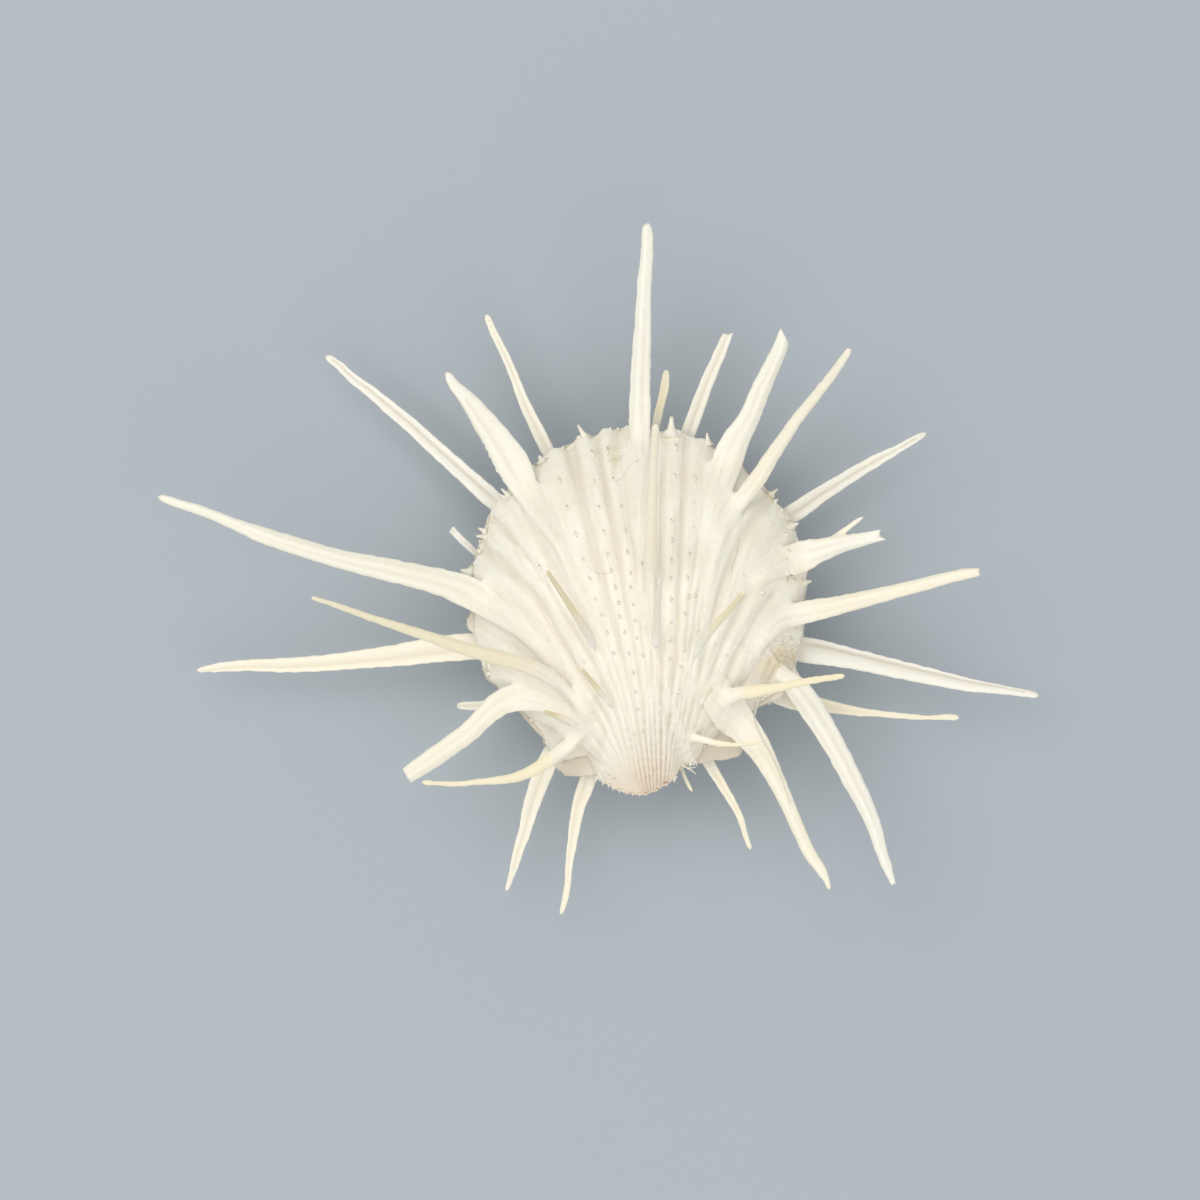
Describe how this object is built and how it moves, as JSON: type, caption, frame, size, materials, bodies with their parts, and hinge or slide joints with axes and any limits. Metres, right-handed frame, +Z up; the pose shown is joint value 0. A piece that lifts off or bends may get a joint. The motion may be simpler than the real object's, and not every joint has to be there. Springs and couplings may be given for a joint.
{
  "type": "thorny oyster shell",
  "caption": "White thorny oyster shell, both valves closed, ribbed, with long pale spines all round, resting on its flat scar.",
  "frame": {"origin": "on the ground, at the middle of the lower valve's flat scar", "axes": "+Z up through the upper valve; the hinge and beak are towards -Y and the rounded margin towards +Y"},
  "size_m": [0.1769, 0.1391, 0.0724],
  "materials": {
    "upper_shell": "satin white shell, cream at the upright spines and the beak",
    "lower_shell": "satin white shell, rougher below"
  },
  "bodies": {
    "root": {"upper_valve": "upper_shell", "lower_valve": "lower_shell"}
  },
  "joints": []
}
